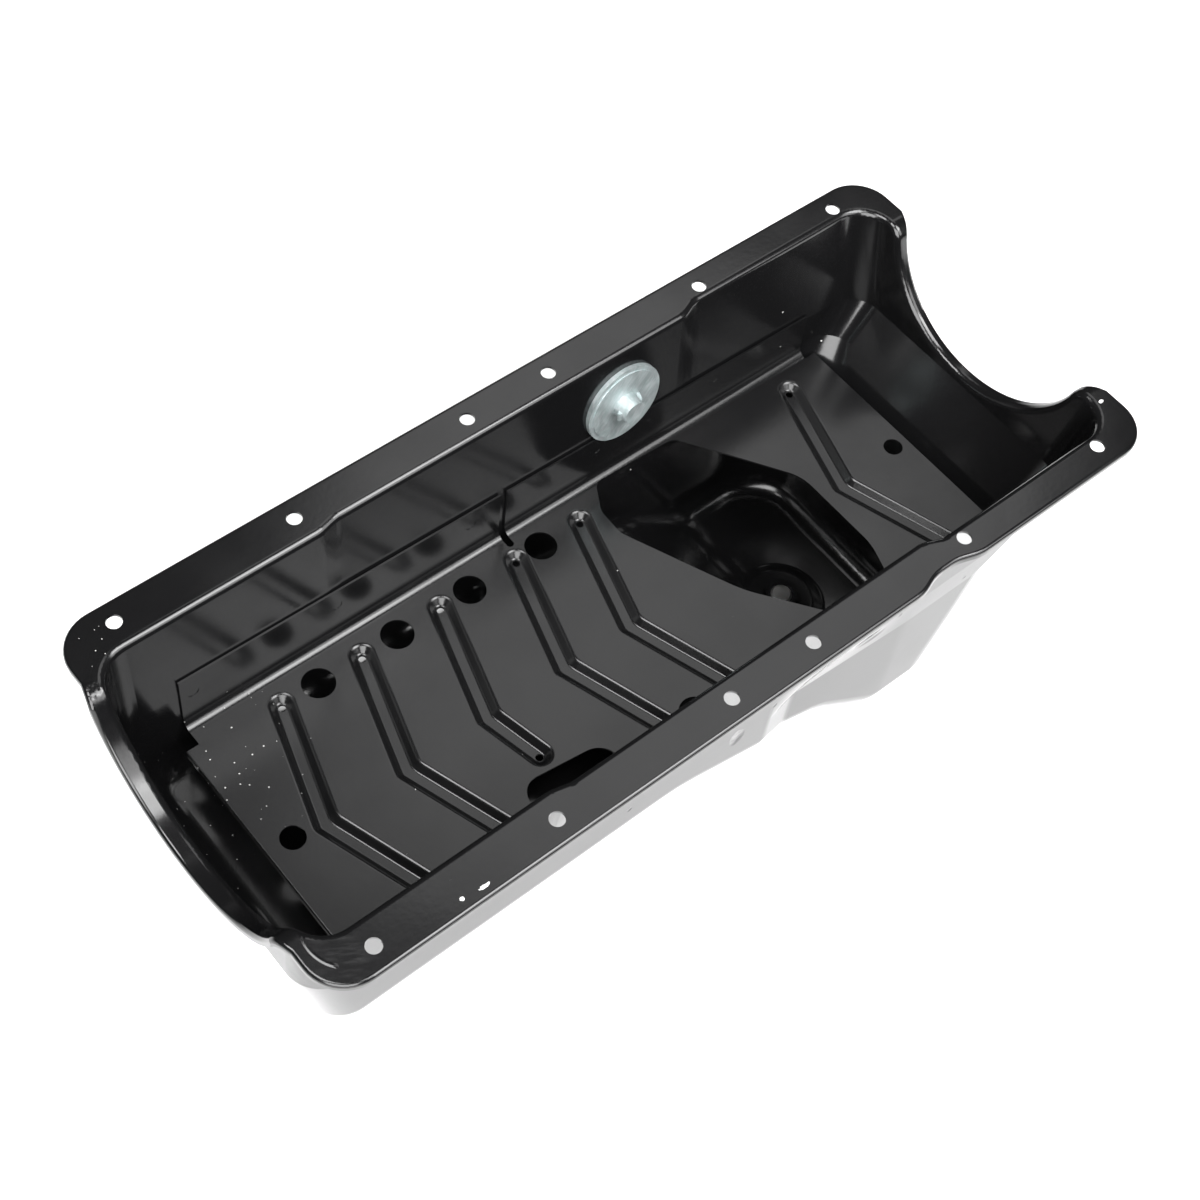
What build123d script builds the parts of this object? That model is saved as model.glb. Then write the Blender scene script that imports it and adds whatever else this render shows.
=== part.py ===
from build123d import *
from math import atan, cos, degrees, radians, sin, sqrt, tan
import os

os.makedirs("parts", exist_ok=True)

# The frame: origin in the middle of the four outermost rail bolts, on the rail's top face.
# +X runs to the deep sump end, +Y to the side with the level port, +Z up to the engine block.

# Sheet of the pan, and its bends, measured on the inner or upper side
sheet = 1.5
draw_radius = 4.0
floor_bend = 14.0

# Bolt rail
bolt_row_length = 500.0
bolt_gauge = 219.7
bolt_hole_dia = 8.6
bolt_steps = [109.1, 114.0, 56.9, 112.4]
rail_reach = 13.0
lip_drop = 4.5
lip_round = 2.2
relief_start_x = 101.0
relief_length = 43.0
relief_depth = 4.8
relief_ramps = [12.0, 15.0]
relief_round = 28.0

# Pads at the rail's four corners
front_pad_reach = 32.3
rear_pad_reach = 35.5
front_corner_radius = 24.0
rear_corner_radius = 24.0
pad_step_round = 2.0

# Saddles that seal against the front cover and the rear bearing cap
front_saddle_radius = 82.3
front_saddle_centre_z = 27.6
front_saddle_reach = 35.5
rear_saddle_radius = 74.0
rear_saddle_centre_z = 12.0
rear_saddle_reach = 29.5
saddle_fold_radius = 12.0

# Walls, measured on their inner faces, with the side walls set in from the bolt rows
front_wall_reach = 23.5
rear_wall_reach = 20.5
front_inset = 15.55
middle_inset = 12.45
rear_inset = 7.35
waist_inset = 18.35
waist_z = -68.0
joggle_x = 128.0
joggle_length = 12.0
joggle_round = 14.0
front_wall_corner = 20.0
rear_wall_corner = 20.0
front_wall_lean = 12.0
rear_wall_lean = 33.0
sump_rear_lean = 16.5

# Floors, measured on their inner faces
shallow_floor_z = -129.5
sump_floor_z = -208.0
slope_start_x = -30.0
slope_angle = 17.0
ramp_start_x = 87.0
ramp_foot_x = 141.69128
slope_round = 90.0
ramp_round = 60.0
ramp_foot_round = 32.0

# Shoulder where the walls draw in to the sump, and the pinch at the sump's front
shoulder_top_z = -92.0
shoulder_low_z = -114.0
pinch_start_x = 39.0
pinch_x = 61.0
pinch_end_x = 150.0
pinch_top_x = 86.0
pinch_inset = 23.05
pinch_round = 18.0
pinch_end_round = 150.0
sump_inset = 19.35
sump_shoulder_corner = 34.0
sump_corner_radius = 40.0

# Windage tray, welded between the side walls
tray_sheet = 1.2
tray_top_z = -98.0
tray_bend_radius = 6.0
tray_wall_gap = 0.3
tray_front_x = -238.5
tray_rear_x = 235.0
tray_front_lip = 4.5
tray_lip_round = 1.0
tray_corner_notch = [8.5, 76.0]
tray_rear_notch = [8.0, 84.0]
tray_port_gap = 0.8
tray_flange_front_top_z = -54.0
tray_flange_rear_top_z = -63.5
tray_slot_x = -12.5
tray_slot_width = 4.5
tray_slot_end_y = 79.0
weld_spot_dia = 7.0
weld_spot_dimple = 0.3
weld_spot_first_x = -222.0
weld_spot_step = 93.0
weld_spot_count = 5
weld_spot_z = -70.0

# Stiffening channels pressed into the tray: apex and the two leg ends of each
channel_width = 14.2
channel_depth = 4.0
channel_side_lean = 45.0
channel_rim_round = 3.0
channel_foot_round = 2.0
channel_bend_round = 8.0
channel_apex_x = [-203.0, -149.0, -94.0, -39.0, 9.0, 179.0]
channel_apex_y = -3.0
channel_leg_reach = 22.5
channel_end_gap = 14.0
short_leg_reach = [8.0, 38.5]
channel_drain_dia = 4.5

# Holes and openings of the tray
bolt_access_dia = 19.5
bolt_access_x = [-156.5, -102.6, -51.2, 1.1]
bolt_access_y = 69.5
tray_pin_holes = [(-222.0, 14.5), (224.0, 12.0)]

# Corners of the two shaped openings in the tray, each with its radius
side_opening = [
    ((-111.0, -80.0), 8.0),
    ((-107.0, -47.0), 11.0),
    ((-53.0, -53.5), 14.0),
    ((-50.0, -80.0), 8.0),
]
pickup_opening = [
    ((56.5, 86.0), 7.0),
    ((117.0, 84.5), 12.0),
    ((162.0, 16.5), 30.0),
    ((162.0, -45.0), 40.0),
    ((151.0, -77.0), 12.0),
    ((117.0, -77.0), 9.0),
    ((77.3, -23.9), 80.0),
    ((45.2, 49.0), 14.0),
    ((45.8, 68.0), 12.0),
]

# Level port in the far wall
port_x = 75.6
port_z = -41.5
port_flange_dia = 53.5
port_flange_thickness = 2.7
port_step_dia = 47.5
port_step_height = 0.7
port_hub_dia = 17.0
port_hub_height = 10.0
port_hub_lean = 6.0
port_gusset_reach = 12.5
port_gusset_width = 5.5
port_gusset_angle = 27.0
port_boss_dia = 30.0
port_boss_reach = 12.0
port_thread_dia = 12.0
port_thread_depth = 10.0
port_clearance = 0.15

# Drain in the sump floor
drain_x = 153.0
drain_dome_dia = 58.0
drain_dome_top_dia = 42.0
drain_dome_height = 5.0
drain_dome_round = 4.0
drain_thread_dia = 14.0
drain_nut_across_flats = 20.0
drain_nut_height = 5.0
drain_head_across_flats = 19.0
drain_head_height = 7.0
drain_collar_dia = 22.0
drain_collar_height = 2.5
drain_washer_thickness = 1.5
drain_clearance = 0.1
drain_nut_chamfer = 0.8
drain_shank_chamfer = 1.2

# Values that follow from the sizes above
front_bolt_x = -bolt_row_length / 2
rear_bolt_x = bolt_row_length / 2
rail_half_width = bolt_gauge / 2 + rail_reach
front_edge_x = front_bolt_x - front_pad_reach
rear_edge_x = rear_bolt_x + rear_pad_reach
front_saddle_x = front_bolt_x - front_saddle_reach
rear_saddle_x = rear_bolt_x + rear_saddle_reach
front_wall_x = front_bolt_x - front_wall_reach
rear_wall_x = rear_bolt_x + rear_wall_reach
front_chord = sqrt(front_saddle_radius**2 - front_saddle_centre_z**2)
rear_chord = sqrt(rear_saddle_radius**2 - rear_saddle_centre_z**2)
front_pad_room = rail_half_width - front_chord - saddle_fold_radius - 2 * pad_step_round
rear_pad_room = rail_half_width - rear_chord - saddle_fold_radius - 2 * pad_step_round
front_corner = min(front_corner_radius, front_pad_room)
rear_corner = min(rear_corner_radius, rear_pad_room)
front_half_width = bolt_gauge / 2 - front_inset
middle_half_width = bolt_gauge / 2 - middle_inset
rear_half_width = bolt_gauge / 2 - rear_inset
waist_half_width = bolt_gauge / 2 - waist_inset
pinch_half_width = bolt_gauge / 2 - pinch_inset
sump_half_width = bolt_gauge / 2 - sump_inset
ramp_start_z = shallow_floor_z - (ramp_start_x - slope_start_x) * tan(radians(slope_angle))
below_all = 2 * sump_floor_z
beyond_all = 2 * rear_edge_x
hole_x = [front_bolt_x + sum(bolt_steps[:i]) for i in range(len(bolt_steps) + 1)] + [rear_bolt_x]
wall_tilt = atan((middle_half_width - waist_half_width) / -waist_z)
tray_half_width = waist_half_width - tray_wall_gap
tray_flat_half_width = tray_half_width - tray_sheet - tray_bend_radius


def corner_arcs(points, radii):
    """Start, middle and end of the arc that rounds each corner of a closed outline."""
    arcs = []
    for i, radius in enumerate(radii):
        here = Vector(*points[i])
        back = (Vector(*points[i - 1]) - here).normalized()
        ahead = (Vector(*points[(i + 1) % len(points)]) - here).normalized()
        half = radians(back.get_angle(ahead)) / 2
        reach = radius / tan(half)
        middle = here + (back + ahead).normalized() * (radius / sin(half) - radius)
        arcs.append((here + back * reach, middle, here + ahead * reach))
    return arcs


def outline_face(arcs):
    """A face whose outline runs through the arcs in order, with straight runs between them."""
    edges = []
    for i, (start, middle, end) in enumerate(arcs):
        straight = abs((middle - start).normalized().dot((end - start).normalized())) > 0.9999999
        edges.append(Line(start, end) if straight else ThreePointArc(start, middle, end))
        edges.append(Line(end, arcs[(i + 1) % len(arcs)][0]))
    return Face(Wire(edges))


def level_box(front_x, rear_x, half_width, z):
    """Corner points of a level rectangle across the pan."""
    return [
        (rear_x, half_width, z),
        (front_x, half_width, z),
        (front_x, -half_width, z),
        (rear_x, -half_width, z),
    ]


def upper_walls(skin):
    """From the rail's joggled opening down to the plain waist."""
    front_x = front_wall_x - skin
    rear_x = rear_wall_x + skin
    ramp = joggle_length / 2
    side = [
        (rear_x, rear_half_width),
        (joggle_x + ramp, rear_half_width),
        (joggle_x - ramp, middle_half_width),
        (-joggle_x + ramp, middle_half_width),
        (-joggle_x - ramp, front_half_width),
        (front_x, front_half_width),
    ]
    far = [(x, y + skin, 0) for x, y in side]
    near = [(x, -y, z) for x, y, z in reversed(far)]
    points = far + near
    corners = {front_x: front_wall_corner + skin, rear_x: rear_wall_corner + skin}
    radii = [corners.get(x, joggle_round) for x, y, z in points]
    top = corner_arcs(points, radii)
    waist_y = waist_half_width + skin
    box = level_box(front_x, rear_x, waist_y, waist_z)
    box_corners = corner_arcs(box, [corners[x] for x, y, z in box])
    waist = []
    for (start, middle, end), radius in zip(top, radii):
        if radius != joggle_round:
            waist.append(box_corners.pop(0))
        else:
            y = waist_y if start.Y > 0 else -waist_y
            waist.append(tuple(Vector(p.X, y, waist_z) for p in (start, middle, end)))
    return loft([outline_face(top), outline_face(waist)], ruled=True)


def drawn_outline(skin, z, pinched, corner):
    """Plan of the drawn walls at one height: leaning ends, rounded corners and the pinch before the sump."""
    front_x = front_wall_x - skin + (waist_z - z) * tan(radians(front_wall_lean))
    knee_z = max(z, shoulder_low_z)
    rear_x = rear_wall_x + skin - (waist_z - knee_z) * tan(radians(rear_wall_lean))
    rear_x -= (knee_z - z) * tan(radians(sump_rear_lean))
    waist_y = waist_half_width + skin
    far = [
        (rear_x, sump_half_width + skin, z),
        (pinch_end_x, sump_half_width + skin, z),
        (pinch_x, pinch_half_width + skin, z),
        (pinch_start_x, waist_y, z),
        (front_x, waist_y, z),
    ]
    radii = [corner + skin, pinch_end_round, pinch_round, pinch_round, front_wall_corner + skin]
    points = far + [(x, -y, z) for x, y, z in reversed(far)]
    arcs = corner_arcs(points, radii + radii[::-1])
    if pinched:
        return arcs
    box = corner_arcs(level_box(front_x, rear_x, waist_y, z), [radii[0], radii[4], radii[4], radii[0]])
    shifts = {pinch_x: pinch_top_x - pinch_x}
    for i, (x, y, z) in enumerate(points):
        if x in (front_x, rear_x):
            arcs[i] = box.pop(0)
        else:
            arcs[i] = tuple(Vector(p.X + shifts.get(x, 0), waist_y if y > 0 else -waist_y, z) for p in arcs[i])
    return arcs


def drawn_form(skin):
    """The whole drawn shape as a solid: the cavity for no skin, the pan's outside for one sheet."""
    levels = [
        (waist_z, False, rear_wall_corner),
        (shoulder_top_z, False, rear_wall_corner),
        (shoulder_low_z, True, sump_shoulder_corner),
        (sump_floor_z - 3 * sheet, True, sump_corner_radius),
    ]
    with BuildPart() as form:
        upper_walls(skin)
        for top, low in zip(levels, levels[1:]):
            loft([outline_face(drawn_outline(skin, *level)) for level in (top, low)], ruled=True)
        with BuildSketch(Plane.XZ) as below:
            with BuildLine():
                Polyline(
                    (2 * front_edge_x, shallow_floor_z),
                    (slope_start_x, shallow_floor_z),
                    (ramp_start_x, ramp_start_z),
                    (ramp_foot_x, sump_floor_z),
                    (2 * rear_edge_x, sump_floor_z),
                    (2 * rear_edge_x, below_all),
                    (2 * front_edge_x, below_all),
                    close=True,
                )
            make_face()
            bends = ((slope_start_x, slope_round), (ramp_start_x, ramp_round), (ramp_foot_x, ramp_foot_round))
            for x, radius in bends:
                fillet(vertices().sort_by(lambda v: abs(v.X - x))[0], radius)
            if skin:
                offset(amount=-skin, kind=Kind.INTERSECTION, mode=Mode.REPLACE)
        extrude(amount=beyond_all, both=True, mode=Mode.SUBTRACT)
        floors = form.faces().filter_by(lambda f: f.center().Z < shoulder_low_z and f.normal_at().Z < -0.6)
        rim = [e for e in floors.edges() if len([f for f in floors if e in f.edges()]) == 1]
        fillet(rim, floor_bend + skin)
    return form.part


def under_rail(drop):
    """Everything below the sealing face, lowered by a drop: level rails with a saddle at each end."""
    with BuildPart() as under:
        for radius, centre_z, end_x in (
            (front_saddle_radius, front_saddle_centre_z, -beyond_all),
            (rear_saddle_radius, rear_saddle_centre_z, beyond_all),
        ):
            with BuildSketch(Plane.YZ):
                with Locations((0, -drop)):
                    Rectangle(beyond_all, -below_all, align=(Align.CENTER, Align.MAX))
                with Locations((0, centre_z)):
                    Circle(radius + drop, mode=Mode.SUBTRACT)
                folds = vertices().sort_by(Axis.Y)[-4:].sort_by(lambda v: abs(v.X))[:2]
                fillet(folds, saddle_fold_radius - drop)
            extrude(amount=end_x)
    return under.part


def rail_outline(inset):
    """Plan of the rail with its four pads, the two saddle lips and the relief in the near rail."""
    with BuildSketch() as plan:
        with BuildLine():
            side = rail_half_width
            relief_end_x = relief_start_x + relief_length
            Polyline(
                (rear_edge_x, side),
                (front_edge_x, side),
                (front_edge_x, front_chord + saddle_fold_radius),
                (front_saddle_x, front_chord),
                (front_saddle_x, -front_chord),
                (front_edge_x, -front_chord - saddle_fold_radius),
                (front_edge_x, -side),
                (relief_start_x, -side),
                (relief_start_x + relief_ramps[0], relief_depth - side),
                (relief_end_x - relief_ramps[1], relief_depth - side),
                (relief_end_x, -side),
                (rear_edge_x, -side),
                (rear_edge_x, -rear_chord - saddle_fold_radius),
                (rear_saddle_x, -rear_chord),
                (rear_saddle_x, rear_chord),
                (rear_edge_x, rear_chord + saddle_fold_radius),
                close=True,
            )
        make_face()
        fillet(vertices().filter_by(lambda v: abs(v.Y) > side - 0.01 and v.X < front_bolt_x), front_corner)
        fillet(vertices().filter_by(lambda v: abs(v.Y) > side - 0.01 and v.X > rear_bolt_x), rear_corner)
        fillet(vertices().filter_by(lambda v: v.Y < 0 and relief_start_x - 0.01 < v.X < relief_end_x + 0.01), relief_round)
        step_y = max(front_chord, rear_chord) + saddle_fold_radius + pad_step_round
        fillet(vertices().filter_by(lambda v: abs(v.Y) < step_y and abs(v.X) > rear_bolt_x), pad_step_round)
        if inset:
            offset(amount=-inset, kind=Kind.ARC, mode=Mode.REPLACE)
    return plan.sketch


def edges_round(tops, inside):
    """Outer edges of the sealing face, or the ones round the mouth."""
    found = []
    for edge in tops.edges():
        if len([f for f in tops if edge in f.edges()]) == 1:
            at = edge @ 0.5
            within = abs(at.X) < rear_wall_x + draw_radius and abs(at.Y) < rear_half_width + sheet
            if within == inside and abs(at.X) > 0.01:
                found.append(edge)
    return found


# Rail: flat flange with a turned-down lip, following the saddles at both ends
with BuildPart() as rail:
    extrude(rail_outline(0), amount=below_all / 3)
    add(under_rail(0), mode=Mode.INTERSECT)
    with BuildPart(mode=Mode.PRIVATE) as hollow:
        extrude(rail_outline(sheet), amount=below_all / 3)
        add(under_rail(sheet), mode=Mode.INTERSECT)
    add(hollow.part, mode=Mode.SUBTRACT)
    add(under_rail(lip_drop), mode=Mode.SUBTRACT)

def drain_dome(drop):
    """The raised dome in the sump floor as a turned solid, or dropped by the sheet, the hollow below it."""
    z = sump_floor_z - drop
    foot_x = drain_x + drain_dome_dia / 2
    crest_x = drain_x + drain_dome_top_dia / 2
    with BuildPart() as turned:
        with BuildSketch(Plane.XZ):
            with BuildLine():
                Polyline(
                    (drain_x, z - sheet / 2),
                    (foot_x + drain_dome_round, z - sheet / 2),
                    (foot_x + drain_dome_round, z),
                    (foot_x, z),
                    (crest_x, z + drain_dome_height),
                    (drain_x, z + drain_dome_height),
                    close=True,
                )
            make_face()
            fillet(vertices().sort_by(lambda v: (v.X - foot_x) ** 2 + (v.Y - z) ** 2)[0], drain_dome_round + drop)
            crest = vertices().sort_by(lambda v: abs(v.X - crest_x) - v.Y)[0]
            fillet(crest, drain_dome_round - drop)
        revolve(axis=Axis((drain_x, 0, 0), (0, 0, 1)))
    return turned.part


# Pan shell: the drawn walls and the rail in one sheet, with its mouth and rim rolled
port_plane = Plane(
    origin=(port_x, middle_half_width + port_z * tan(wall_tilt), port_z),
    x_dir=(1, 0, 0),
    z_dir=(0, -cos(wall_tilt), sin(wall_tilt)),
)
with BuildPart() as pan_shell:
    add(drawn_form(sheet))
    add(under_rail(0), mode=Mode.INTERSECT)
    add(rail.part)
    add(drawn_form(0), mode=Mode.SUBTRACT)
    tops = faces().filter_by(lambda f: f.center().Z > waist_z and f.normal_at().Z > 0.25)
    fillet(edges_round(tops, True), draw_radius)
    tops = faces().filter_by(lambda f: f.center().Z > waist_z and f.normal_at().Z > 0.25)
    fillet(edges_round(tops, False), lip_round)
    with BuildSketch():
        with Locations([(x, y) for x in hole_x for y in (-bolt_gauge / 2, bolt_gauge / 2)]):
            Circle(bolt_hole_dia / 2)
    extrude(amount=-2 * sheet, mode=Mode.SUBTRACT)
    with BuildSketch(port_plane.offset(-2 * sheet)):
        Circle(port_boss_dia / 2 + port_clearance)
    extrude(amount=4 * sheet, mode=Mode.SUBTRACT)
    add(drain_dome(0))
    add(drain_dome(sheet), mode=Mode.SUBTRACT)
    with Locations((drain_x, 0, sump_floor_z + drain_dome_height)):
        Cylinder(drain_thread_dia / 2 + drain_clearance, 4 * sheet, mode=Mode.SUBTRACT)
pan_shell.part.label = "pan_shell"
export_step(pan_shell.part, "parts/pan_shell.step")


def channel_ends(apex_x):
    """Far end, apex and near end of one channel's centre line."""
    reach_x, reach_y = channel_leg_reach, tray_flat_half_width - channel_end_gap
    near_x, near_y = short_leg_reach if apex_x == channel_apex_x[2] else (reach_x, reach_y)
    return [(apex_x + reach_x, reach_y), (apex_x, channel_apex_y), (apex_x + near_x, -near_y)]


def channels(skin):
    """All the pressed channels as solids with leaning sides: the hollows for no skin, else the metal round them."""
    side = skin / cos(radians(channel_side_lean))
    with BuildPart() as pressed:
        for apex_x in channel_apex_x:
            with BuildSketch(Plane.XY.offset(tray_top_z)):
                far, apex, near = [Vector(*end) for end in channel_ends(apex_x)]
                for end in (far, near):
                    run = end - apex
                    with Locations(Location(tuple(apex + run * 0.5), degrees(atan(run.Y / run.X)))):
                        SlotCenterToCenter(run.length, channel_width + 2 * side)
                elbow = vertices().sort_by(lambda v: (v.X - apex_x) ** 2 + (v.Y - channel_apex_y) ** 2 - 1000 * (v.X > apex_x))
                fillet(elbow[0], channel_bend_round - side)
            extrude(amount=-channel_depth - skin, taper=channel_side_lean)
        fillet(faces().filter_by(Axis.Z).group_by(Axis.Z)[0].edges(), channel_foot_round + skin)
    return pressed.part


def shaped_opening(corners):
    """A closed outline with its own radius at each corner."""
    points = [(x, y, 0) for (x, y), radius in corners]
    return outline_face(corner_arcs(points, [radius for point, radius in corners]))


# Windage tray: folded sheet with slotted flanges, channels, holes and the pickup opening
with BuildPart() as windage_tray:
    low_z = tray_top_z - tray_sheet
    with BuildSketch(Plane.YZ.offset(tray_front_x)):
        with BuildLine():
            Polyline(
                (-tray_half_width, 0),
                (-tray_half_width, low_z),
                (tray_half_width, low_z),
                (tray_half_width, 0),
            )
            offset(amount=tray_sheet, side=Side.LEFT)
        make_face()
        outer = vertices().sort_by(Axis.Y)[:2]
        fillet(outer, tray_bend_radius + tray_sheet)
        inner = vertices().filter_by(lambda v: abs(v.Y - tray_top_z) < 0.01)
        fillet(inner, tray_bend_radius)
    extrude(amount=tray_rear_x - tray_front_x)
    with BuildSketch(Plane.XZ) as flange_tops:
        with BuildLine():
            Polyline(
                (tray_front_x, tray_flange_front_top_z),
                (tray_rear_x, tray_flange_rear_top_z),
                (tray_rear_x, sheet),
                (tray_front_x, sheet),
                close=True,
            )
        make_face()
    extrude(amount=beyond_all, both=True, mode=Mode.SUBTRACT)
    for end_x, (notch_x, notch_y) in ((tray_front_x, tray_corner_notch), (tray_rear_x, tray_rear_notch)):
        with BuildSketch(Plane.XY.offset(2 * low_z)):
            with Locations((end_x, beyond_all / 2 + notch_y), (end_x, -beyond_all / 2 - notch_y)):
                Rectangle(2 * notch_x, beyond_all)
        extrude(amount=-2 * low_z, mode=Mode.SUBTRACT)
    with BuildSketch(port_plane.offset(-sheet)):
        Circle(port_flange_dia / 2 + tray_port_gap)
    extrude(amount=port_flange_thickness + 4 * sheet, mode=Mode.SUBTRACT)
    with BuildSketch(Plane.XY.offset(low_z)):
        with Locations((tray_slot_x, beyond_all / 2 + tray_slot_end_y), (tray_slot_x, -beyond_all / 2 - tray_slot_end_y)):
            SlotOverall(beyond_all, tray_slot_width, rotation=90)
    extrude(amount=-low_z, mode=Mode.SUBTRACT)
    with Locations(((tray_front_x, 0, tray_top_z))):
        lip_height = tray_front_lip
        Box(tray_sheet, 2 * tray_corner_notch[1], lip_height, align=(Align.MIN, Align.CENTER, Align.MAX))
    lip_edge = edges().filter_by(Axis.Y).sort_by(lambda e: abs(e.center().X - tray_front_x) + abs(e.center().Z - tray_top_z))[0]
    fillet(lip_edge, tray_lip_round)
    add(channels(tray_sheet))
    add(channels(0), mode=Mode.SUBTRACT)
    flat = faces().filter_by(Axis.Z).filter_by(lambda f: abs(f.center().Z - tray_top_z) < 0.01)
    fillet([e for face in flat for rim in face.inner_wires() for e in rim.edges()], channel_rim_round)
    with BuildSketch(Plane.XY.offset(low_z - channel_depth)):
        with Locations([(x, bolt_access_y) for x in bolt_access_x]):
            Circle(bolt_access_dia / 2)
        with Locations((bolt_access_x[0], -bolt_access_y), (bolt_access_x[-1], -bolt_access_y)):
            Circle(bolt_access_dia / 2)
        for x, dia in tray_pin_holes:
            with Locations((x, 0)):
                Circle(dia / 2)
        ends = [end for apex_x in channel_apex_x for end in channel_ends(apex_x)[::2]]
        with Locations(ends):
            Circle(channel_drain_dia / 2)
    extrude(amount=2 * (tray_sheet + channel_depth), mode=Mode.SUBTRACT)
    for corners in (side_opening, pickup_opening):
        face = Pos(0, 0, low_z - channel_depth) * shaped_opening(corners)
        extrude(face, amount=2 * (tray_sheet + channel_depth), dir=(0, 0, 1), mode=Mode.SUBTRACT)
    spots_middle_x = weld_spot_first_x + weld_spot_step * (weld_spot_count - 1) / 2
    for side in (-1, 1):
        for y, height, mode in (
            (tray_half_width, tray_wall_gap, Mode.ADD),
            (tray_half_width - tray_sheet, weld_spot_dimple, Mode.SUBTRACT),
        ):
            with Locations(Plane.XZ.offset(-side * y)):
                with Locations((spots_middle_x, weld_spot_z)):
                    with GridLocations(weld_spot_step, 0, weld_spot_count, 1):
                        Cylinder(weld_spot_dia / 2, 2 * height, mode=mode)
windage_tray.part.label = "windage_tray"
export_step(windage_tray.part, "parts/windage_tray.step")


# Level port bung: stepped flange on the wall's inner face, ribbed hub inside, threaded boss outside
with BuildPart() as level_port_bung:
    seat = port_plane.offset(0)
    with BuildSketch(seat):
        Circle(port_flange_dia / 2)
    extrude(amount=port_flange_thickness)
    with BuildSketch(seat.offset(port_flange_thickness)):
        Circle(port_step_dia / 2)
    extrude(amount=port_step_height)
    with BuildSketch(seat.offset(port_flange_thickness)):
        Circle(port_hub_dia / 2)
    extrude(amount=port_hub_height, taper=port_hub_lean)
    top = port_flange_thickness + port_hub_height
    across = seat.rotated((0, 0, port_gusset_angle))
    with BuildSketch(Plane(across.origin, x_dir=across.x_dir, z_dir=-across.y_dir)):
        with BuildLine():
            Polyline(
                (-port_gusset_reach, port_flange_thickness),
                (-port_gusset_reach, port_flange_thickness + 2 * port_step_height),
                (-port_hub_dia / 4, top - 2 * port_step_height),
                (port_hub_dia / 4, top - 2 * port_step_height),
                (port_gusset_reach, port_flange_thickness + 2 * port_step_height),
                (port_gusset_reach, port_flange_thickness),
                close=True,
            )
        make_face()
    extrude(amount=port_gusset_width / 2, both=True)
    with BuildSketch(seat):
        Circle(port_boss_dia / 2)
    extrude(amount=-port_boss_reach)
    with BuildSketch(seat.offset(-port_boss_reach)):
        Circle(port_thread_dia / 2)
    extrude(amount=port_thread_depth, mode=Mode.SUBTRACT)
level_port_bung.part.label = "level_port_bung"
export_step(level_port_bung.part, "parts/level_port_bung.step")

# Drain nut: hexagon welded on the dome inside the sump
dome_z = sump_floor_z + drain_dome_height
with BuildPart() as drain_nut:
    with BuildSketch(Plane.XY.offset(dome_z)):
        with Locations((drain_x, 0)):
            RegularPolygon(drain_nut_across_flats / 2, 6, major_radius=False)
            Circle(drain_thread_dia / 2 + drain_clearance, mode=Mode.SUBTRACT)
    extrude(amount=drain_nut_height)
    chamfer(faces().sort_by(Axis.Z)[-1].edges().filter_by(GeomType.CIRCLE), drain_nut_chamfer)
drain_nut.part.label = "drain_nut"
export_step(drain_nut.part, "parts/drain_nut.step")

# Drain washer, between the plug's collar and the dome
with BuildPart() as drain_washer:
    with BuildSketch(Plane.XY.offset(dome_z - sheet)):
        with Locations((drain_x, 0)):
            Circle(drain_collar_dia / 2)
            Circle(drain_thread_dia / 2 + drain_clearance, mode=Mode.SUBTRACT)
    extrude(amount=-drain_washer_thickness)
drain_washer.part.label = "drain_washer"
export_step(drain_washer.part, "parts/drain_washer.step")

# Drain plug: hexagon head with a collar, its shank through the washer, the dome and the nut
with BuildPart() as drain_plug:
    collar_z = dome_z - sheet - drain_washer_thickness
    with BuildSketch(Plane.XY.offset(collar_z)):
        with Locations((drain_x, 0)):
            Circle(drain_collar_dia / 2)
    extrude(amount=-drain_collar_height)
    with BuildSketch(Plane.XY.offset(collar_z - drain_collar_height)):
        with Locations((drain_x, 0)):
            RegularPolygon(drain_head_across_flats / 2, 6, major_radius=False)
    extrude(amount=-drain_head_height)
    with BuildSketch(Plane.XY.offset(collar_z)):
        with Locations((drain_x, 0)):
            Circle(drain_thread_dia / 2)
    extrude(amount=drain_washer_thickness + sheet + drain_nut_height)
    chamfer(faces().sort_by(Axis.Z)[-1].edges(), drain_shank_chamfer)
drain_plug.part.label = "drain_plug"
export_step(drain_plug.part, "parts/drain_plug.step")
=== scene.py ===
"""Engine oil pan: finishes, wear, floor, light and camera over the CAD nodes."""

import math

import bpy
from mathutils import Matrix, Vector


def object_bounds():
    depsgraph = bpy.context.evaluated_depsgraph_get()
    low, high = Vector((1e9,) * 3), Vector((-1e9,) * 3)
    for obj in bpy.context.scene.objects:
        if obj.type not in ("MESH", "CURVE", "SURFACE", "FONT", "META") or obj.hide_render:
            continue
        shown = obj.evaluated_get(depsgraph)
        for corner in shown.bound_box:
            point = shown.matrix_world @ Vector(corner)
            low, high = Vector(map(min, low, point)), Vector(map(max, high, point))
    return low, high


bl_info = {
    "name": "Engine oil pan",
    "version": (1, 0, 0),
    "blender": (4, 5, 0),
    "location": "View3D > Sidebar > Oil pan",
    "description": "Finishes the oil pan and sets its stage",
    "category": "Object",
}

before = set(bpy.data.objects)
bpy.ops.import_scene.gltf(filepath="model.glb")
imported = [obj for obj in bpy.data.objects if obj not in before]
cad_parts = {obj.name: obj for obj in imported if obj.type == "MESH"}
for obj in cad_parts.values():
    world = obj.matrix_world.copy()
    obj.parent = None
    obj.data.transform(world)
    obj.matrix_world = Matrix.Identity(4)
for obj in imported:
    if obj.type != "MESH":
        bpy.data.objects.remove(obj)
cad_box = [list(corner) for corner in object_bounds()]

# Kinds of node group socket
NUMBER = "NodeSocketFloat"
VECTOR = "NodeSocketVector"

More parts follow.
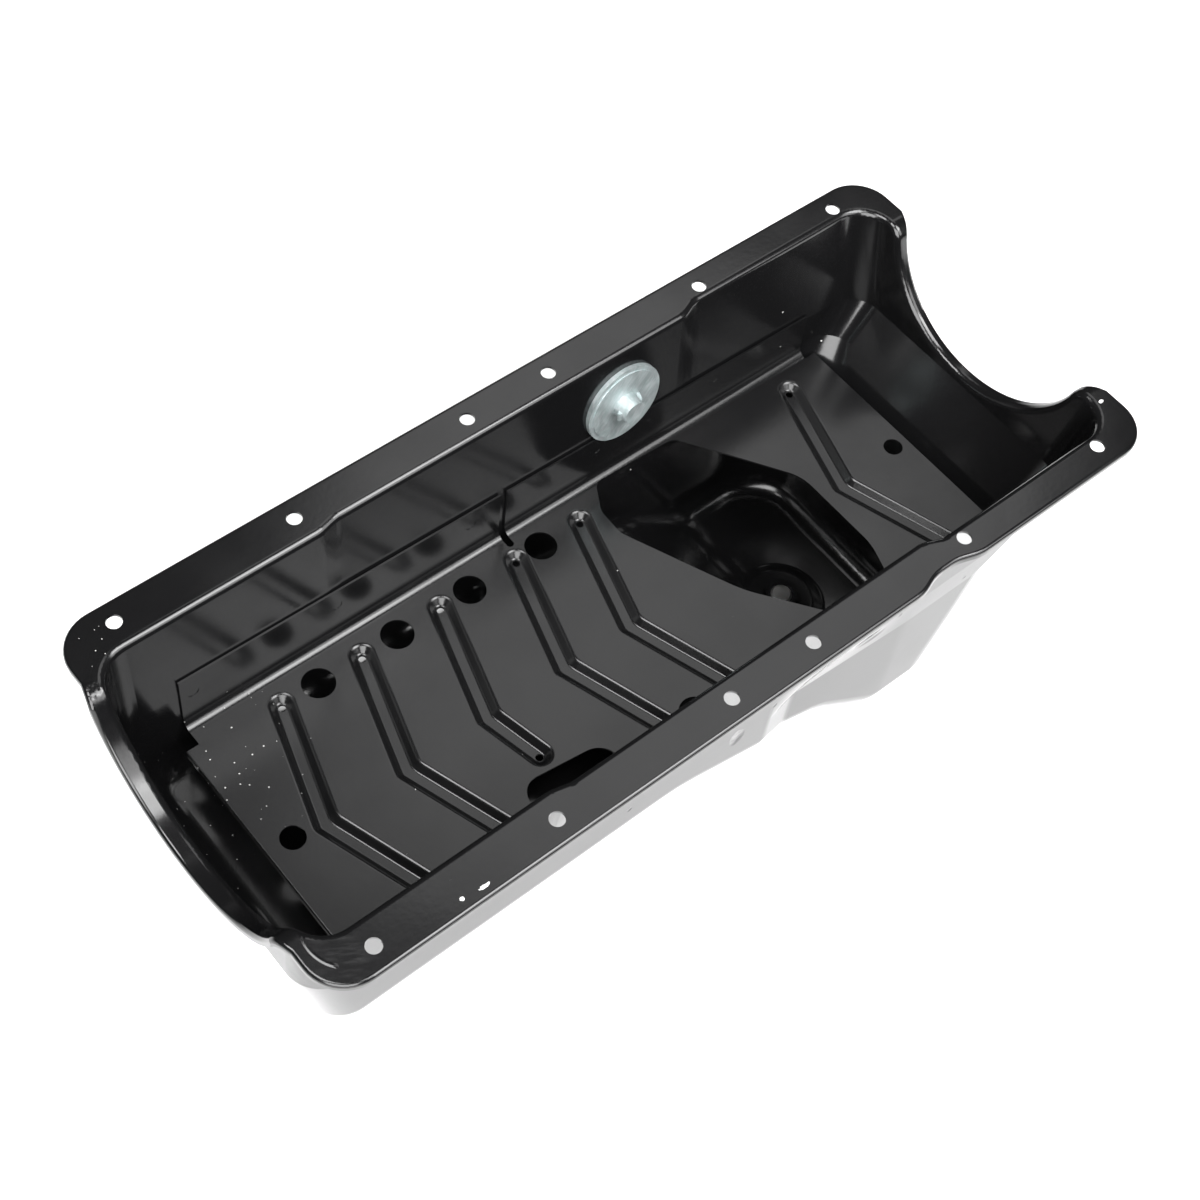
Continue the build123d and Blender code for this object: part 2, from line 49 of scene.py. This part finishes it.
# Places of the two inputs and the result among the sockets of a Mix node
MIX_SOCKETS = {"RGBA": (6, 7, 2), "FLOAT": (2, 3, 0)}

# Low and high roughness of a film as shares of its middle value
GLOSS_SPREAD = (0.85, 1.2)
SATIN_SPREAD = (0.9, 1.15)

# Roughness of scuffed paint, and of chips and dust
SCUFF_ROUGHNESS = 0.32
MARK_ROUGHNESS = 0.7

# Camera that was fitted to the photo, with its lens and sensor in millimetres
CAMERA_PLACE = (-0.48004, -0.42239, 0.88332)
CAMERA_RIGHT = (0.76741, -0.63430, 0.09355)
CAMERA_UP = (0.49218, 0.67630, 0.54807)
CAMERA_BACK = (-0.41091, -0.37455, 0.83118)
CAMERA_LENS = 61.508
CAMERA_SENSOR = 36.0
CAMERA_CLIP = 0.01

# Point that the soft boxes face, key light and floor
LIGHT_AIM = (0.0, 0.0, -0.06)
KEY_PLACE = (-1.0, -1.5, 2.5)
KEY_ANGLE = math.radians(40)
FLOOR_GAP = 0.0005
FLOOR_ROUGHNESS = 0.9


class PaintSettings(bpy.types.PropertyGroup):
    """Colours and gloss of the finishes."""

    black: bpy.props.FloatVectorProperty(
        name="Black paint", description="Colour of the pan's paint", subtype="COLOR",
        default=(0.0035, 0.0035, 0.0037), size=3, min=0.0, max=1.0)
    scuffed: bpy.props.FloatVectorProperty(
        name="Scuffed paint", description="Colour of the black paint where it is scuffed", subtype="COLOR",
        default=(0.006, 0.006, 0.0063), size=3, min=0.0, max=1.0)
    dust: bpy.props.FloatVectorProperty(
        name="Dust", description="Colour of the dust specks", subtype="COLOR",
        default=(0.3, 0.3, 0.29), size=3, min=0.0, max=1.0)
    chip: bpy.props.FloatVectorProperty(
        name="Chip", description="Colour of the bare chips in the paint", subtype="COLOR",
        default=(0.75, 0.75, 0.74), size=3, min=0.0, max=1.0)
    pan_roughness: bpy.props.FloatProperty(
        name="Pan roughness", description="Roughness of the pan's gloss paint",
        default=0.16, min=0.0, max=1.0)
    tray_roughness: bpy.props.FloatProperty(
        name="Tray roughness", description="Roughness of the tray's paint",
        default=0.22, min=0.0, max=1.0)
    zinc: bpy.props.FloatVectorProperty(
        name="Zinc", description="Colour of the plated level port", subtype="COLOR",
        default=(0.36, 0.42, 0.42), size=3, min=0.0, max=1.0)
    scuffed_zinc: bpy.props.FloatVectorProperty(
        name="Scuffed zinc", description="Colour of the plating where it is scuffed", subtype="COLOR",
        default=(0.46, 0.49, 0.5), size=3, min=0.0, max=1.0)
    plug: bpy.props.FloatVectorProperty(
        name="Plug", description="Colour of the drain plug", subtype="COLOR",
        default=(0.45, 0.45, 0.44), size=3, min=0.0, max=1.0)
    washer: bpy.props.FloatVectorProperty(
        name="Washer", description="Colour of the drain washer", subtype="COLOR",
        default=(0.6, 0.6, 0.6), size=3, min=0.0, max=1.0)


class StageSettings(bpy.types.PropertyGroup):
    """Size of the floor and strength of the lights."""

    floor_size: bpy.props.FloatProperty(
        name="Floor size", description="Side of the floor", default=12.0, min=1.0, unit="LENGTH")
    floor_shade: bpy.props.FloatProperty(
        name="Floor shade", description="Grey of the floor", default=0.85, min=0.0, max=1.0)
    far_box_power: bpy.props.FloatProperty(
        name="Far box power", description="Power of the soft box over the far side in watts",
        default=9.0, min=0.0)
    left_box_power: bpy.props.FloatProperty(
        name="Left box power", description="Power of the soft box behind the camera in watts",
        default=120.0, min=0.0)
    near_box_power: bpy.props.FloatProperty(
        name="Near box power", description="Power of the soft box at the near side in watts",
        default=30.0, min=0.0)
    top_box_power: bpy.props.FloatProperty(
        name="Top box power", description="Power of the soft box over the front end in watts",
        default=22.0, min=0.0)
    near_top_box_power: bpy.props.FloatProperty(
        name="Near top box power", description="Power of the soft box high over the near side in watts",
        default=34.0, min=0.0)
    sun_strength: bpy.props.FloatProperty(
        name="Key strength", description="Strength of the key light on the floor",
        default=2.0, min=0.0)
    sky_strength: bpy.props.FloatProperty(
        name="Room strength", description="Strength of the room's own light",
        default=0.05, min=0.0)


def solid(colour):
    """A colour with full alpha."""
    return (*colour, 1.0)


def new_material(name):
    """An empty material, its node tree and its Principled shader."""
    material = bpy.data.materials.new(name)
    material.use_nodes = True
    return material, material.node_tree, material.node_tree.nodes["Principled BSDF"]


def add_node(tree, kind, inputs=None, **settings):
    """A shader node with its settings, and each of its inputs linked to a socket or set to a value."""
    node = tree.nodes.new(kind)
    for name, value in settings.items():
        setattr(node, name, value)
    for name, value in (inputs or {}).items():
        if isinstance(value, bpy.types.NodeSocket):
            tree.links.new(value, node.inputs[name])
        else:
            node.inputs[name].default_value = value
    return node


def add_math(tree, operation, first, second):
    """The result of one sum on two sockets or values."""
    return add_node(tree, "ShaderNodeMath", {0: first, 1: second}, operation=operation).outputs[0]


def add_vector_math(tree, operation, *inputs):
    """The node of one vector sum."""
    return add_node(tree, "ShaderNodeVectorMath", dict(enumerate(inputs)), operation=operation)


def place_on_part(tree):
    """The place of each point of the surface in the part's own frame."""
    return add_node(tree, "ShaderNodeTexCoord").outputs["Object"]


def noise(tree, place, scale, detail):
    """Smooth noise between 0 and 1."""
    node = add_node(tree, "ShaderNodeTexNoise", {"Vector": place, "Scale": scale, "Detail": detail})
    return node.outputs["Fac"]


def joined(tree, masks, operation="MAXIMUM"):
    """Several masks as one."""
    result = masks[0]
    for mask in masks[1:]:
        node = add_node(tree, "ShaderNodeMath", {0: result, 1: mask}, operation=operation, use_clamp=True)
        result = node.outputs[0]
    return result


def mixed(tree, mask, first, second, kind="RGBA"):
    """The first value where the mask is black and the second where it is white."""
    first_at, second_at, result_at = MIX_SOCKETS[kind]
    node = add_node(tree, "ShaderNodeMix", data_type=kind)
    tree.links.new(mask, node.inputs[0])
    for index, value in ((first_at, first), (second_at, second)):
        if isinstance(value, bpy.types.NodeSocket):
            tree.links.new(value, node.inputs[index])
        else:
            node.inputs[index].default_value = value
    return node.outputs[result_at]


def new_group(name, inputs, outputs):
    """A shader node group with its named sockets, its input node and its output node."""
    tree = bpy.data.node_groups.new(name, "ShaderNodeTree")
    for label, kind, value in inputs:
        socket = tree.interface.new_socket(name=label, in_out="INPUT", socket_type=kind)
        socket.default_value = value
    for label, kind in outputs:
        tree.interface.new_socket(name=label, in_out="OUTPUT", socket_type=kind)
    return tree, tree.nodes.new("NodeGroupInput").outputs, tree.nodes.new("NodeGroupOutput").inputs


def effect(tree, name, **inputs):
    """One use of a shared effect in a material."""
    node = tree.nodes.new("ShaderNodeGroup")
    node.node_tree = bpy.data.node_groups[name]
    for label, value in inputs.items():
        node.inputs[label.replace("_", " ")].default_value = value
    return node.outputs


def film(tree, roughness, spread):
    """A paint film with its roughness spread about a middle value."""
    low, high = spread
    return effect(tree, "Paint film", Low=roughness * low, High=roughness * high)


def specks(tree, scale, amount, size):
    """The mask of scattered specks."""
    return effect(tree, "Specks", Scale=scale, Amount=amount, Size=size)["Mask"]


def spot(tree, centre, reach, **shape):
    """The mask of one mark."""
    return effect(tree, "Spot", Centre=centre, Reach=reach, **shape)["Mask"]


def give(node_name, material):
    """Put one material on all of a CAD node."""
    obj = bpy.data.objects[node_name]
    for slot in obj.material_slots:
        slot.material = material
    if not obj.material_slots:
        obj.data.materials.append(material)


def make_paint_film():
    """A film whose gloss drifts in clouds, over a fine ripple."""
    cloud_detail = 3.0
    cloud_low = 0.35
    cloud_high = 0.65
    ripple_detail = 1.0
    ripple_height = 0.0003
    tree, given, made = new_group(
        "Paint film",
        [("Scale", NUMBER, 22.0), ("Low", NUMBER, 0.12), ("High", NUMBER, 0.2),
         ("Ripple Scale", NUMBER, 300.0), ("Ripple", NUMBER, 0.05)],
        [("Roughness", NUMBER), ("Normal", VECTOR)])
    place = place_on_part(tree)
    level = add_node(tree, "ShaderNodeMapRange", {
        "Value": noise(tree, place, given["Scale"], cloud_detail),
        "From Min": cloud_low, "From Max": cloud_high,
        "To Min": given["Low"], "To Max": given["High"]})
    tree.links.new(level.outputs["Result"], made["Roughness"])
    bump = add_node(tree, "ShaderNodeBump", {
        "Height": noise(tree, place, given["Ripple Scale"], ripple_detail),
        "Strength": given["Ripple"], "Distance": ripple_height})
    tree.links.new(bump.outputs["Normal"], made["Normal"])


def make_specks():
    """Round specks, one in each of the cells that are chosen."""
    tree, given, made = new_group(
        "Specks",
        [("Scale", NUMBER, 220.0), ("Amount", NUMBER, 0.03), ("Size", NUMBER, 0.12)],
        [("Mask", NUMBER)])
    cells = add_node(tree, "ShaderNodeTexVoronoi", {"Vector": place_on_part(tree), "Scale": given["Scale"]})
    draw = add_node(tree, "ShaderNodeSeparateColor", {"Color": cells.outputs["Color"]})
    near = add_math(tree, "LESS_THAN", cells.outputs["Distance"], given["Size"])
    chosen = add_math(tree, "LESS_THAN", draw.outputs["Red"], given["Amount"])
    tree.links.new(add_math(tree, "MULTIPLY", near, chosen), made["Mask"])


def make_spot():
    """One oval mark with a soft or ragged edge, whose rim is one reach from its centre."""
    rim = 1.0
    rag_detail = 3.0
    rag_middle = 0.5
    tree, given, made = new_group(
        "Spot",
        [("Centre", VECTOR, (0.0, 0.0, 0.0)), ("Reach", VECTOR, (0.01, 0.01, 0.01)),
         ("Edge", NUMBER, 0.3), ("Raggedness", NUMBER, 0.0), ("Rag Scale", NUMBER, 400.0)],
        [("Mask", NUMBER)])
    place = place_on_part(tree)
    away = add_vector_math(tree, "SUBTRACT", place, given["Centre"]).outputs[0]
    share = add_vector_math(tree, "DIVIDE", away, given["Reach"]).outputs[0]
    length = add_vector_math(tree, "LENGTH", share).outputs["Value"]
    rag = add_math(tree, "SUBTRACT", noise(tree, place, given["Rag Scale"], rag_detail), rag_middle)
    reach = add_math(tree, "ADD", length, add_math(tree, "MULTIPLY", rag, given["Raggedness"]))
    fade = add_node(tree, "ShaderNodeMapRange", {
        "Value": reach,
        "From Min": add_math(tree, "SUBTRACT", rim, given["Edge"]),
        "From Max": add_math(tree, "ADD", rim, given["Edge"]),
        "To Min": 1.0, "To Max": 0.0})
    tree.links.new(fade.outputs["Result"], made["Mask"])


def make_streaks():
    """Fine lines that are drawn out one way."""
    line_detail = 4.0
    tree, given, made = new_group(
        "Streaks",
        [("Turn", VECTOR, (0.0, 0.0, 0.0)), ("Stretch", VECTOR, (60.0, 900.0, 300.0)),
         ("From", NUMBER, 0.5), ("To", NUMBER, 0.65)],
        [("Mask", NUMBER)])
    turned = add_node(tree, "ShaderNodeVectorRotate", {
        "Vector": place_on_part(tree), "Rotation": given["Turn"]}, rotation_type="EULER_XYZ")
    drawn = add_vector_math(tree, "MULTIPLY", turned.outputs[0], given["Stretch"]).outputs[0]
    fade = add_node(tree, "ShaderNodeMapRange", {
        "Value": noise(tree, drawn, 1.0, line_detail), "From Min": given["From"], "From Max": given["To"]})
    tree.links.new(fade.outputs["Result"], made["Mask"])


class OILPAN_OT_effects(bpy.types.Operator):
    """Make the shared surface effects as node groups"""

    bl_idname = "oilpan.effects"
    bl_label = "Make the surface effects"

    def execute(self, context):
        make_paint_film()
        make_specks()
        make_spot()
        make_streaks()
        return {"FINISHED"}


def pan_chips(tree):
    """Chips through the paint of the near rail and the rear pad."""
    edge = 0.1
    rag_scale = 900.0
    chips = (
        ((-0.1905, -0.1168, 0.0), (0.0032, 0.0009, 0.002), 1.6),
        ((-0.2032, -0.1156, 0.0), (0.0012, 0.0011, 0.002), 0.8),
        ((0.2756, -0.089, 0.0), (0.0016, 0.0009, 0.003), 1.2),
    )
    return joined(tree, [
        spot(tree, centre, reach, Edge=edge, Raggedness=raggedness, Rag_Scale=rag_scale)
        for centre, reach, raggedness in chips])


def pan_scuffs(tree):
    """Smears on the near front pad and on the near rail beside it."""
    pad = spot(
        tree, centre=(-0.264, -0.103, 0.0), reach=(0.010, 0.019, 0.004),
        Edge=0.6, Raggedness=1.6, Rag_Scale=160.0)
    patch = spot(
        tree, centre=(-0.2006, -0.1055, 0.0), reach=(0.0035, 0.005, 0.003),
        Edge=0.5, Raggedness=1.2, Rag_Scale=300.0)
    streaks = effect(
        tree, "Streaks", Turn=(0.0, 0.0, 0.5), Stretch=(90.0, 420.0, 300.0), From=0.45, To=0.75)["Mask"]
    return joined(tree, [joined(tree, [pad, patch]), streaks], "MULTIPLY")


def pan_dust(tree):
    """A few specks all over, and more on the far front pad and in the front end's floor."""
    few = specks(tree, scale=160.0, amount=0.01, size=0.1)
    pad = spot(tree, centre=(-0.268, 0.104, 0.0), reach=(0.012, 0.014, 0.02), Edge=0.3)
    corner = spot(tree, centre=(-0.25, 0.05, -0.115), reach=(0.014, 0.05, 0.03), Edge=0.4)
    many = specks(tree, scale=330.0, amount=0.22, size=0.11)
    return joined(tree, [few, joined(tree, [joined(tree, [pad, corner]), many], "MULTIPLY")])


def pan_runs(tree):
    """Lumps of paint in the fold of the far front pad."""
    fold = spot(tree, centre=(-0.2795, 0.083, 0.0), reach=(0.006, 0.006, 0.006), Edge=0.4)
    lumps = noise(tree, place_on_part(tree), scale=280.0, detail=1.0)
    return joined(tree, [fold, lumps], "MULTIPLY")


def pan_ridge(tree):
    """A curved run of paint on the near front pad, as the stretch of an oval ring that is near one side."""
    centre = (-0.258, -0.093, 0.0)
    edge = 0.03
    outer = spot(tree, centre, reach=(0.0173, 0.0207, 0.02), Edge=edge)
    inner = spot(tree, centre, reach=(0.0159, 0.0193, 0.02), Edge=edge)
    side = spot(tree, centre=(-0.274, -0.098, 0.0), reach=(0.006, 0.014, 0.004), Edge=0.15)
    return joined(tree, [joined(tree, [outer, inner], "SUBTRACT"), side], "MULTIPLY")


def pan_dents(tree):
    """Dents and pits in the near wall, outside."""
    rag_scale = 250.0
    dents = (
        ((0.117, -0.0945, -0.101), (0.008, 0.006, 0.0035), 0.6, 0.0),
        ((0.040, -0.0945, -0.098), (0.0013, 0.004, 0.0016), 0.4, 0.0),
        ((0.139, -0.0945, -0.095), (0.0012, 0.004, 0.0013), 0.4, 0.0),
        ((0.197, -0.098, -0.107), (0.0015, 0.006, 0.0015), 0.4, 0.0),
        ((0.0125, -0.0945, -0.106), (0.0035, 0.006, 0.005), 0.6, 0.8),
        ((-0.067, -0.0945, -0.101), (0.0014, 0.004, 0.0016), 0.4, 0.0),
    )
    return joined(tree, [
        spot(tree, centre, reach, Edge=edge, Raggedness=raggedness, Rag_Scale=rag_scale)
        for centre, reach, edge, raggedness in dents])


class OILPAN_OT_paint_pan(bpy.types.Operator):
    """Paint the pan gloss black, with its scuffs, chips, runs, dust and dents"""

    bl_idname = "oilpan.paint_pan"
    bl_label = "Paint the pan"

    def execute(self, context):
        dent_depth = -1.8
        bump_strength = 0.6
        bump_height = 0.0006
        settings = context.scene.oilpan_paint
        material, tree, shader = new_material("Gloss black paint")
        paint = film(tree, settings.pan_roughness, GLOSS_SPREAD)
        chips = pan_chips(tree)
        scuffs = pan_scuffs(tree)
        dust = pan_dust(tree)

        colour = mixed(tree, scuffs, solid(settings.black), solid(settings.scuffed))
        colour = mixed(tree, dust, colour, solid(settings.dust))
        colour = mixed(tree, chips, colour, solid(settings.chip))
        tree.links.new(colour, shader.inputs["Base Color"])

        rough = mixed(tree, scuffs, paint["Roughness"], SCUFF_ROUGHNESS, "FLOAT")
        rough = mixed(tree, joined(tree, [chips, dust]), rough, MARK_ROUGHNESS, "FLOAT")
        tree.links.new(rough, shader.inputs["Roughness"])

        high = joined(tree, [pan_runs(tree), pan_ridge(tree)], "ADD")
        low = add_math(tree, "MULTIPLY", pan_dents(tree), dent_depth)
        bump = add_node(tree, "ShaderNodeBump", {
            "Height": add_math(tree, "ADD", high, low), "Strength": bump_strength,
            "Distance": bump_height, "Normal": paint["Normal"]})
        tree.links.new(bump.outputs["Normal"], shader.inputs["Normal"])
        give("pan_shell", material)
        return {"FINISHED"}


def tray_dust(tree):
    """A cluster of specks at the tray's far front corner, and a few elsewhere."""
    corner = spot(tree, centre=(-0.22, 0.06, -0.098), reach=(0.03, 0.035, 0.01), Edge=0.6)
    many = specks(tree, scale=260.0, amount=0.5, size=0.13)
    few = specks(tree, scale=150.0, amount=0.03, size=0.06)
    return joined(tree, [joined(tree, [corner, many], "MULTIPLY"), few])


class OILPAN_OT_paint_tray(bpy.types.Operator):
    """Paint the windage tray black, with its dust"""

    bl_idname = "oilpan.paint_tray"
    bl_label = "Paint the tray"

    def execute(self, context):
        settings = context.scene.oilpan_paint
        material, tree, shader = new_material("Satin black paint")
        paint = film(tree, settings.tray_roughness, SATIN_SPREAD)
        dust = tray_dust(tree)
        colour = mixed(tree, dust, solid(settings.black), solid(settings.dust))
        tree.links.new(colour, shader.inputs["Base Color"])
        rough = mixed(tree, dust, paint["Roughness"], MARK_ROUGHNESS, "FLOAT")
        tree.links.new(rough, shader.inputs["Roughness"])
        tree.links.new(paint["Normal"], shader.inputs["Normal"])
        give("windage_tray", material)
        return {"FINISHED"}


def plate_port(settings):
    """Zinc plate with fine scuffs."""
    metallic = 0.85
    scuff_strength = 0.35
    scuff_height = 0.0003
    material, tree, shader = new_material("Zinc plate")
    shader.inputs["Metallic"].default_value = metallic
    scuffs = effect(
        tree, "Streaks", Turn=(0.0, 0.9, 0.0), Stretch=(150.0, 400.0, 900.0), From=0.4, To=0.66)["Mask"]
    colour = mixed(tree, scuffs, solid(settings.zinc), solid(settings.scuffed_zinc))
    tree.links.new(colour, shader.inputs["Base Color"])
    plating = effect(tree, "Paint film", Scale=150.0, Low=0.5, High=0.66)
    tree.links.new(plating["Roughness"], shader.inputs["Roughness"])
    bump = add_node(tree, "ShaderNodeBump", {
        "Height": scuffs, "Strength": scuff_strength, "Distance": scuff_height})
    tree.links.new(bump.outputs["Normal"], shader.inputs["Normal"])
    give("level_port_bung", material)


def paint_nut(settings):
    """The pan's black paint on the drain nut."""
    material, tree, shader = new_material("Painted nut")
    shader.inputs["Base Color"].default_value = solid(settings.black)
    paint = effect(tree, "Paint film", Scale=120.0, Low=0.12, High=0.24)
    tree.links.new(paint["Roughness"], shader.inputs["Roughness"])
    tree.links.new(paint["Normal"], shader.inputs["Normal"])
    give("drain_nut", material)


def bare_metal(name, node_name, colour, low, high):
    """A plain metal whose roughness drifts between two values, on one CAD node."""
    material, tree, shader = new_material(name)
    shader.inputs["Base Color"].default_value = solid(colour)
    shader.inputs["Metallic"].default_value = 1.0
    surface = effect(tree, "Paint film", Scale=120.0, Low=low, High=high)
    tree.links.new(surface["Roughness"], shader.inputs["Roughness"])
    give(node_name, material)


class OILPAN_OT_plate(bpy.types.Operator):
    """Plate the level port and finish the drain's nut, plug and washer"""

    bl_idname = "oilpan.plate"
    bl_label = "Finish the fittings"

    def execute(self, context):
        settings = context.scene.oilpan_paint
        plate_port(settings)
        paint_nut(settings)
        bare_metal("Plug steel", "drain_plug", settings.plug, low=0.28, high=0.42)
        bare_metal("Soft washer metal", "drain_washer", settings.washer, low=0.38, high=0.5)
        return {"FINISHED"}


def lay_floor(settings):
    """A plain pale floor just under the part's lowest point."""
    bpy.ops.object.select_all(action="DESELECT")
    height = cad_box[0][2] - FLOOR_GAP
    bpy.ops.mesh.primitive_plane_add(size=settings.floor_size, location=(0, 0, height))
    floor = bpy.context.object
    floor.name = "floor"
    bpy.ops.object.transform_apply(location=True, rotation=True, scale=True)
    material, _, shader = new_material("Pale floor")
    shader.inputs["Base Color"].default_value = solid((settings.floor_shade,) * 3)
    shader.inputs["Roughness"].default_value = FLOOR_ROUGHNESS
    floor.data.materials.append(material)


def set_room(scene, settings):
    """A dim white room."""
    world = scene.world or bpy.data.worlds.new("World")
    scene.world = world
    world.use_nodes = True
    background = world.node_tree.nodes["Background"]
    background.inputs["Color"].default_value = solid((1.0, 1.0, 1.0))
    background.inputs["Strength"].default_value = settings.sky_strength


def facing_back(place, aim):
    """The turn of a light that stands at a place and points at an aim."""
    return (Vector(place) - Vector(aim)).to_track_quat("Z", "Y").to_euler()


def soft_box(name, place, size, power):
    """A square area light that points at the part and doesn't show to the camera."""
    bpy.ops.object.light_add(type="AREA", location=place)
    box = bpy.context.object
    box.name = name
    box.data.size = size
    box.data.energy = power
    box.visible_camera = False
    box.rotation_euler = facing_back(place, LIGHT_AIM)


def key_light(strength):
    """A broad sun for the floor, which the gloss paint doesn't mirror."""
    bpy.ops.object.light_add(type="SUN", location=KEY_PLACE)
    key = bpy.context.object
    key.name = "key_light"
    key.data.energy = strength
    key.data.angle = KEY_ANGLE
    key.visible_glossy = False
    key.rotation_euler = facing_back(KEY_PLACE, (0.0, 0.0, 0.0))


def set_camera(scene):
    """The photo's own camera."""
    bpy.ops.object.camera_add(location=CAMERA_PLACE)
    camera = bpy.context.object
    camera.name = "photo_camera"
    camera.rotation_euler = Matrix((CAMERA_RIGHT, CAMERA_UP, CAMERA_BACK)).transposed().to_euler()
    camera.data.lens = CAMERA_LENS
    camera.data.sensor_width = CAMERA_SENSOR
    camera.data.clip_start = CAMERA_CLIP
    scene.camera = camera
    scene.view_settings.view_transform = "Standard"


class OILPAN_OT_stage(bpy.types.Operator):
    """Lay the floor and set the lights and the camera"""

    bl_idname = "oilpan.stage"
    bl_label = "Set the stage"

    def execute(self, context):
        settings = context.scene.oilpan_stage
        lay_floor(settings)
        set_room(context.scene, settings)
        soft_box("far_box", place=(1.1, 0.88, 2.15), size=1.25, power=settings.far_box_power)
        soft_box("left_box", place=(-1.5, -1.5, 1.2), size=2.0, power=settings.left_box_power)
        soft_box("near_box", place=(0.6, -1.35, 1.15), size=1.3, power=settings.near_box_power)
        soft_box("top_box", place=(-0.66, 0.17, 1.55), size=0.75, power=settings.top_box_power)
        soft_box("near_top_box", place=(0.36, -0.76, 1.52), size=0.9, power=settings.near_top_box_power)
        key_light(settings.sun_strength)
        set_camera(context.scene)
        return {"FINISHED"}


class OILPAN_PT_panel(bpy.types.Panel):
    """Oil pan tools"""

    bl_label = "Oil pan"
    bl_idname = "OILPAN_PT_panel"
    bl_space_type = "VIEW_3D"
    bl_region_type = "UI"
    bl_category = "Oil pan"

    def draw(self, context):
        for operator in OPERATORS:
            self.layout.operator(operator.bl_idname)


OPERATORS = (OILPAN_OT_effects, OILPAN_OT_paint_pan, OILPAN_OT_paint_tray, OILPAN_OT_plate, OILPAN_OT_stage)
CLASSES = (PaintSettings, StageSettings, *OPERATORS, OILPAN_PT_panel)


def register():
    for cls in CLASSES:
        bpy.utils.register_class(cls)
    bpy.types.Scene.oilpan_paint = bpy.props.PointerProperty(type=PaintSettings)
    bpy.types.Scene.oilpan_stage = bpy.props.PointerProperty(type=StageSettings)


def unregister():
    del bpy.types.Scene.oilpan_stage
    del bpy.types.Scene.oilpan_paint
    for cls in reversed(CLASSES):
        bpy.utils.unregister_class(cls)


def main():
    register()
    bpy.ops.object.select_all(action="DESELECT")
    bpy.ops.oilpan.effects()
    bpy.ops.oilpan.paint_pan()
    bpy.ops.oilpan.paint_tray()
    bpy.ops.oilpan.plate()
    bpy.ops.oilpan.stage()


if __name__ == "__main__":
    main()
